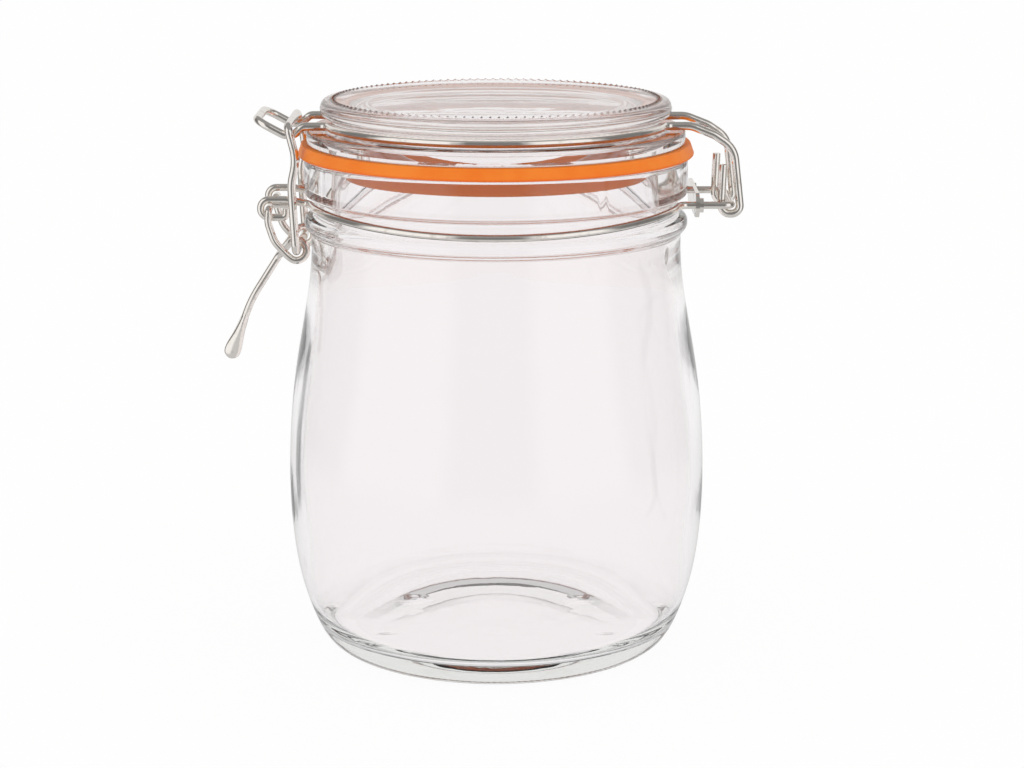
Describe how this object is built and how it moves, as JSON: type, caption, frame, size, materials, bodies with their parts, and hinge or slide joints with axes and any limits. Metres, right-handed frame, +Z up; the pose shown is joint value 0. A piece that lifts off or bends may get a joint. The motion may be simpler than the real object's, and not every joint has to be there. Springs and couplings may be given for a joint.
{
  "type": "clip-top preserving jar",
  "caption": "Empty clear glass preserving jar with a hinged glass lid, an orange rubber seal and a wire toggle latch that clamps the lid shut.",
  "frame": {"origin": "centre of the jar's axis at the level it stands on", "axes": "+Z up the jar's axis; the latch is on the -X side, the hinge on the +X side, and the middle plane of latch and hinge is y = 0"},
  "size_m": [0.1272, 0.1032, 0.136],
  "materials": {
    "jar_glass": "clear pressed glass",
    "lid_glass": "clear pressed glass",
    "seal_rubber": "satin orange rubber",
    "plated_wire": "bright plated wire",
    "clip_steel": "thin plated sheet"
  },
  "bodies": {
    "jar": {"jar_glass": "jar_glass", "neck_wire": "plated_wire", "hinge_clip": "clip_steel"},
    "lid": {"lid_glass": "lid_glass", "lid_wire": "plated_wire", "seal": "seal_rubber"},
    "lever": {"lever": "plated_wire"},
    "link": {"link": "plated_wire"}
  },
  "joints": [
    {"name": "lid_hinge", "type": "hinge", "parent": "jar", "child": "lid", "pos_m": [0.0566, 0, 0.1112], "axis": [0, 1, 0], "range_deg": [0, 100]},
    {"name": "lever_pivot", "type": "hinge", "parent": "jar", "child": "lever", "pos_m": [-0.05455, 0, 0.11], "axis": [0, 1, 0], "range_deg": [0, 60]},
    {"name": "link_pivot", "type": "hinge", "parent": "lever", "child": "link", "pos_m": [-0.048, 0, 0.1], "axis": [0, 1, 0], "range_deg": [-130, 0]}
  ],
  "couplings": [
    {"joint": "lever_pivot", "follows": "lid_hinge", "ratio": 0.6},
    {"joint": "link_pivot", "follows": "lid_hinge", "ratio": -1.3}
  ]
}
